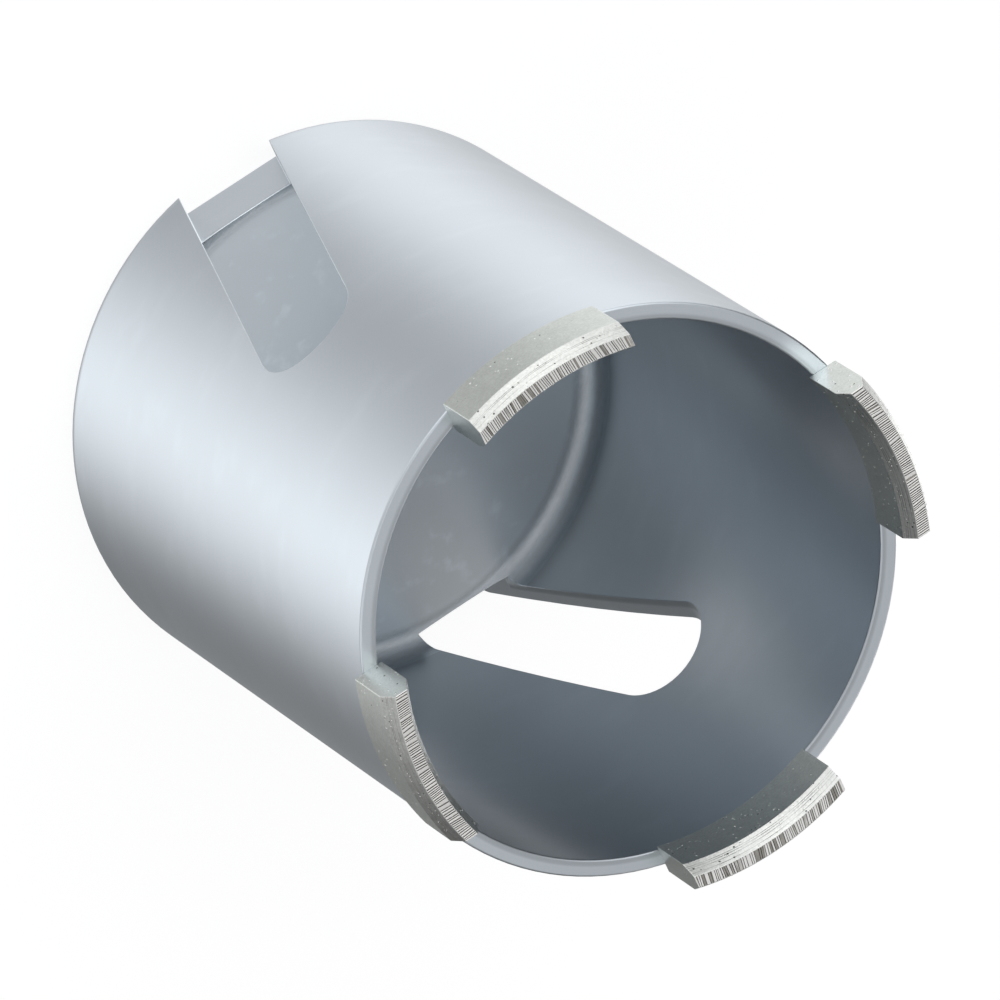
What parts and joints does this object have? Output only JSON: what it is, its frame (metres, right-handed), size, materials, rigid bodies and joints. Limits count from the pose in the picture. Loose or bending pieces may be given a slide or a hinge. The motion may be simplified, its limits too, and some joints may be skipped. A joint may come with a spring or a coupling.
{
  "type": "diamond core bit",
  "caption": "Dry diamond core bit: a thin-walled steel cup with a thick threaded back plate, slanted side slots and roof-shaped diamond segments on its rim.",
  "frame": {"origin": "centre of the back plate's outer face, on the axis, which is the middle of the part's underside", "axes": "+Z along the tool's axis towards the cutting end; +X through the middle of the first slot's flat and of segment_1"},
  "size_m": [0.068, 0.068, 0.0848],
  "materials": {
    "cup_steel": "satin turned steel, silver grey",
    "diamond_segment": "sintered metal with diamond grit, ground on its chamfers and crown"
  },
  "bodies": {
    "root": {"core_cup": "cup_steel", "segment_1": "diamond_segment", "segment_2": "diamond_segment", "segment_3": "diamond_segment", "segment_4": "diamond_segment"}
  },
  "joints": []
}
